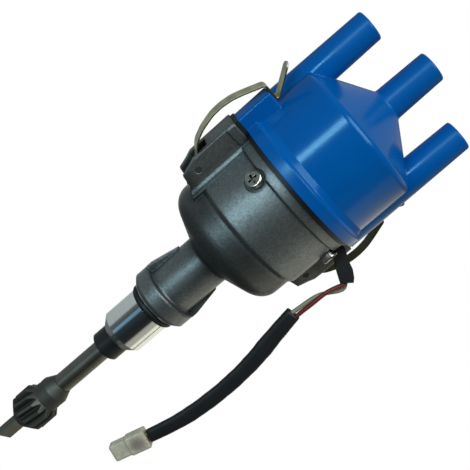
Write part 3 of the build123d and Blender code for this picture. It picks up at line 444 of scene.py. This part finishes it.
# ---------------------------------------------------------------- lead
wire_d = 2.2
red_route = [
    (45.55, -18.37, 88.37), (47.99, -19.28, 86.35), (46.30, -18.65, 81.40), (45.08, -18.19, 75.50),
    (45.31, -18.17, 68.50), (45.42, -17.57, 61.00), (45.88, -17.15, 55.04), (47.56, -17.78, 43.78),
    (50.56, -18.90, 28.73), (52.17, -19.51, 12.07), (52.17, -19.51, -6.08), (50.48, -18.87, -23.55),
    (46.70, -17.46, -39.28),
]
white_route = [
    (46.43, -16.02, 88.37), (50.50, -17.54, 85.00), (50.36, -17.50, 81.50), (47.46, -16.41, 76.80),
    (45.29, -15.65, 71.90), (44.43, -15.65, 66.00), (43.94, -15.84, 61.00), (43.10, -16.12, 54.56),
    (44.80, -16.75, 43.22), (47.79, -17.87, 28.27), (49.36, -18.46, 11.93), (49.36, -18.46, -5.92),
    (47.68, -17.83, -23.25), (43.97, -16.44, -38.52),
]
sleeve_route = [
    (43.84, -16.39, 57.90), (46.18, -17.27, 43.50), (49.18, -18.39, 28.50), (50.77, -18.98, 12.00),
    (50.77, -18.98, -6.00), (49.08, -18.35, -23.40), sleeve_end,
]
sleeve_width = [(0.0, 7.4), (0.08, 8.2), (0.2, 8.8), (0.4, 8.3), (0.8, 7.9), (1.0, 7.0)]
sleeve_depth = [(0.0, 4.6), (0.1, 4.3), (0.8, 4.0), (1.0, 4.2)]
sleeve_width_waves = [(0.012, 41, 0), (0.008, 97, 0)]      # height, radians end to end, start
sleeve_depth_waves = [(0.03, 29, 1)]
sleeve_wall = 0.7
sleeve_points = 40               # round each oval of the sleeving
oval_wide_power = 0.55           # below 1, an oval fills its corners
oval_thick_power = 0.75


def metres(points):
    """Points typed in millimetres, turned into metres."""
    return [tuple(c * mm for c in point) for point in points]


def cord_curve(name, points, radius):
    """Open NURBS curve of a round cord."""
    curve = bpy.data.curves.new(name, "CURVE")
    curve.dimensions = "3D"
    curve.bevel_depth = radius
    curve.bevel_resolution = 6
    curve.resolution_u = 16
    curve.use_fill_caps = True
    spline = curve.splines.new("NURBS")
    spline.points.add(len(points) - 1)
    for knot, point in zip(spline.points, points):
        knot.co = (*point, 1.0)
    spline.order_u = 3
    spline.use_endpoint_u = True
    piece = bpy.data.objects.new(name, curve)
    bpy.context.scene.collection.objects.link(piece)
    return piece


def curve_points(points):
    """Points along the NURBS line of a route, with no bevel."""
    guide = cord_curve("guide", points, 0.0)
    mesh = bpy.data.meshes.new_from_object(guide)
    line = [vertex.co.copy() for vertex in mesh.vertices]
    bpy.data.meshes.remove(mesh)
    bpy.data.objects.remove(guide)
    return line


def between(table, share):
    """Value at a share of the length, from a short table of shares and values."""
    for (s0, v0), (s1, v1) in zip(table, table[1:]):
        if share <= s1:
            return v0 + (v1 - v0) * (share - s0) / (s1 - s0)
    return table[-1][1]


def uneven(waves, share):
    """1 with small waves added, at a share of the length."""
    return sum((height * sin(share * turn + start) for height, turn, start in waves), 1.0)


def flat_ring(centre, wide, thick, width, depth):
    """Flattened oval in the plane of two directions."""
    ring = []
    for i in range(sleeve_points):
        a = 2 * pi * i / sleeve_points
        x = copysign(abs(cos(a)) ** oval_wide_power, cos(a))
        y = copysign(abs(sin(a)) ** oval_thick_power, sin(a))
        ring.append(centre + wide * (x * width / 2) + thick * (y * depth / 2))
    return ring


def build_sleeve():
    """Flat sleeving round both wires: slack at its mouth, open at both ends."""
    line = curve_points(metres(sleeve_route))
    across = Vector((-sin(lead_angle), cos(lead_angle), 0))
    outer, inner = [], []
    for i, centre in enumerate(line):
        share = i / (len(line) - 1)
        wide = across.cross(heading(line, i)).normalized()
        width = between(sleeve_width, share) * uneven(sleeve_width_waves, share) * mm
        depth = between(sleeve_depth, share) * uneven(sleeve_depth_waves, share) * mm
        walls = 2 * sleeve_wall * mm
        outer.append(flat_ring(centre, wide, across, width, depth))
        inner.append(flat_ring(centre, wide, across, width - walls, depth - walls))
    loops = outer + inner[::-1]
    vertices = [point for ring in loops for point in ring]
    faces = ring_faces(len(loops), sleeve_points, closed=True)
    piece = mesh_piece("sleeving", vertices, faces)
    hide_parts("lead_sleeve")
    return dress(piece, "sleeve_black", body)


sleeving = build_sleeve()
wire_r = wire_d / 2 * mm
red_wire = dress(cord_curve("wire_red", metres(red_route), wire_r), "wire_red", body)
white_wire = dress(cord_curve("wire_white", metres(white_route), wire_r), "wire_white", body)
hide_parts("lead_wire_red")
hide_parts("lead_wire_white")


# ---------------------------------------------------------------- cap clips
clip_pivot_r = 39.2              # pin from the shaft axis
clip_pivot_z = 73.2
clip_w = 5.7
clip_t = 0.8
clip_edge = 0.15                 # worn corners of the strip
clip_eye = 1.7                   # middle line of the rolled eye round the pin
clip_eye_turns = range(-330, 0, 15)      # degrees round the pin, up to where the arm leaves
clip_leg_z = 117.85              # middle of the leg on the cap's lug
clip_handle_z = clip_leg_z + 13.15
clip_arm = [                     # from the eye to the handle's end: out from the pin, above it
    (clip_eye, 0.0), (2.4, 2.1), (8.5, 7.4), (11.2, 13.2), (13.0, 20.4), (13.1, 25.8), (12.3, 31.0),
    (10.7, 35.8), (7.2, clip_leg_z - clip_pivot_z), (-1.8, clip_leg_z - clip_pivot_z),
    (8.0, clip_handle_z - clip_pivot_z),
]
clip_bends = [1.5, 10, 12, 16, 16, 14, 9, 1.7, 1.0]      # radii at the arm's inner corners
clip_end_steps = 9               # points along the handle's round end
clip_end_turn = 10.5             # degrees between them, which stops short of a point
clip_shade_angle = 35            # degrees from which an edge is shaded sharp


def rounded_line(corners, radii, step=radians(7)):
    """Points along a line whose corners are rounded to the radii, at most a step apart."""
    line = [corners[0]]
    for before, corner, after, radius in zip(corners, corners[1:], corners[2:], radii):
        back, on = (before - corner).normalized(), (after - corner).normalized()
        half = back.angle(on) / 2
        centre = corner + (back + on).normalized() * (radius / sin(half))
        start = (corner + back * (radius / tan(half)) - centre).normalized()
        end = (corner + on * (radius / tan(half)) - centre).normalized()
        turns = max(2, ceil((pi - 2 * half) / step))
        line += [centre + start.slerp(end, i / turns) * radius for i in range(turns + 1)]
    return line + [corners[-1]]


def clip_ring(spot, along, half_w):
    """Eight points round the strip, two at each worn corner."""
    face = Vector((along.z, 0, -along.x))
    half_t = clip_t / 2
    ring = []
    for y, depth in ((1, -1), (1, 1), (-1, 1), (-1, -1)):
        across = Vector((0, y, 0))
        on_side = across * half_w + face * depth * (half_t - clip_edge)
        on_face = across * (half_w - clip_edge) + face * depth * half_t
        pair = (on_side, on_face) if y * depth > 0 else (on_face, on_side)
        ring += [spot + corner for corner in pair]
    return ring


def build_clip(name, side, body_name):
    """Spring strip from its rolled eye, over the lug, to a handle with a round end."""
    eye = [Vector((clip_eye * cos(a), 0, clip_eye * sin(a))) for a in map(radians, clip_eye_turns)]
    line = eye + rounded_line([Vector((x, 0, z)) for x, z in clip_arm], clip_bends)
    half_w = clip_w / 2
    halves = [half_w] * (len(line) - 1)
    reach = (line[-1] - line[-2]).normalized()
    tip = line.pop()
    for i in range(clip_end_steps):
        turn = radians(90 - clip_end_turn * i)
        line.append(tip - reach * half_w * (1 - cos(turn)))
        halves.append(half_w * sin(turn))
    loops = [clip_ring(spot, heading(line, i), half)
             for i, (spot, half) in enumerate(zip(line, halves))]
    pin = Vector((clip_pivot_r, 0.0, clip_pivot_z))
    places = [(pin + point) * mm for ring in loops for point in ring]
    piece = mesh_piece(name, [(side * v.x, v.y, v.z) for v in places],
                       ring_faces(len(loops), len(loops[0])))
    piece.data.set_sharp_from_angle(angle=radians(clip_shade_angle))
    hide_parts(name)
    dress(piece, "clip_steel", body_name)


build_clip("clip_right", 1, "right_clip")
build_clip("clip_left", -1, "left_clip")


# ---------------------------------------------------------------- brush spring
spring_turns = 7
spring_wire = 0.5
spring_steps = 24                # points along each turn
spring_sides = 8


def build_brush_spring():
    """Coil of round wire, evenly pitched, that fills the height of the brush spring's box."""
    low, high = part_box("brush_spring")
    height = high.z - low.z
    wire = spring_wire / 2 * mm
    coil_r = high.x - wire
    steps = spring_turns * spring_steps
    vertices = []
    for i in range(steps + 1):
        turn = 2 * pi * spring_turns * i / steps
        out = Vector((cos(turn), sin(turn), 0))
        rise = (height - 2 * wire) * i / steps + wire
        for k in range(spring_sides):
            a = 2 * pi * k / spring_sides
            vertices.append(out * (coil_r + cos(a) * wire)
                            + Vector((0, 0, low.z + rise + sin(a) * wire)))
    piece = mesh_piece("brush_spring", vertices, ring_faces(steps + 1, spring_sides))
    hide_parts("brush_spring")
    dress(piece, slot_of["brush_spring"], body)
    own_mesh(piece)


build_brush_spring()


# ---------------------------------------------------------------- light and surroundings
def add_world():
    """White to the camera; what lights the object and is mirrored in it is a dim room."""
    up = (0.0, 0.0, 1.0)
    down = (0.0, 0.0, -1.0)
    view = (0.5265, 0.8329, -0.1704)      # the way the camera looks
    view_level = (0.5265, 0.8329, 0.0)
    behind_right = (0.8829, 0.4695, -0.05)
    left = (-0.8499, 0.5206, -0.0814)
    low_in_front = (-0.785, -0.529, -0.32)
    warm = (1.0, 0.94, 0.8)
    cool = (0.93, 1.0, 1.0)
    daylight = (0.5, 0.82, 1.0)
    matt_share = 0.55                     # matt faces take less of the room

    world = bpy.data.worlds.new("studio")
    bpy.context.scene.world = world
    world.use_nodes = True
    world.node_tree.nodes.clear()
    w = Nodes(world.node_tree, "Generated")

    def towards(direction, start, end, low, high):
        """Runs from low to high as a ray's cosine to the direction runs from start to end."""
        cosine = w.combine("VectorMath", "DOT_PRODUCT", w.coords, direction)
        return w.fade(cosine, start, end, low, high, "SMOOTHSTEP")

    def both(one, two):
        return w.combine("Math", "MULTIPLY", one, two)

    def brighter(one, two):
        return w.combine("Math", "MAXIMUM", one, two)

    # pale table all round but under the camera, paler behind right, over a dark floor
    table = both(towards(view, -0.55, -0.4, 0.0, 0.42), towards(up, -0.2, 0.06, 1.0, 0.15))
    table_right = both(towards(behind_right, 0.3, 0.55, 0.0, 0.9),
                       towards(up, -0.05, 0.1, 1.0, 0.15))
    tables = both(brighter(table, table_right), towards(down, 0.35, 0.55, 1.0, 0.12))
    # pale backdrop, high behind the object
    backdrop = both(towards(view_level, 0.2, 0.55, 0.0, 1.0), towards(up, 0.15, 0.45, 0.0, 0.42))
    # dim walls, lightest at the left, and a small sill in daylight that the spigot mirrors
    walls = towards(left, -0.7, 0.8, 0.04, 0.16)
    sill = towards(low_in_front, 0.98, 0.998, 0.0, 0.9)
    level = brighter(brighter(brighter(tables, backdrop), walls), sill)
    tint = w.mix(towards(left, -0.6, 0.2, 0.0, 1.0), warm, cool)

    rays = w.add("LightPath").outputs
    share = w.span(rays["Is Diffuse Ray"], 1.0, matt_share)
    room = w.add("Background", {"Color": w.mix(sill, tint, daylight),
                                "Strength": both(level, share)})
    paper = w.add("Background", {"Color": white})
    shown = w.add("MixShader", {"Fac": rays["Is Camera Ray"], 1: room.outputs["Background"],
                                2: paper.outputs["Background"]})
    w.add("OutputWorld", {"Surface": shown.outputs["Shader"]})


lamp_target = Vector((0, 0, 90 * mm))      # on the shaft axis, just below the cap


def add_softbox(name, azimuth, height, distance, size, power, colour):
    """Rectangular lamp that faces the object, placed round the shaft axis."""
    data = bpy.data.lights.new(name, "AREA")
    data.shape = "RECTANGLE"
    data.size, data.size_y = size
    data.energy = power
    data.color = colour
    light = bpy.data.objects.new(name, data)
    bpy.context.scene.collection.objects.link(light)
    place = Vector((distance * cos(radians(azimuth)), distance * sin(radians(azimuth)), height))
    light.location = place
    light.rotation_euler = (lamp_target - place).to_track_quat("-Z", "Y").to_euler()


add_world()
# one tall window, seen as the long streak on the cap
add_softbox("window", azimuth=-142, height=0.115, distance=1.0, size=(0.15, 0.52), power=3.3,
            colour=(0.66, 0.9, 1.0))
# room light from above, on the camera's side
add_softbox("ceiling", azimuth=-118, height=1.0, distance=0.75, size=(0.8, 0.8), power=9.0,
            colour=white)
bpy.context.scene.view_settings.view_transform = "Standard"
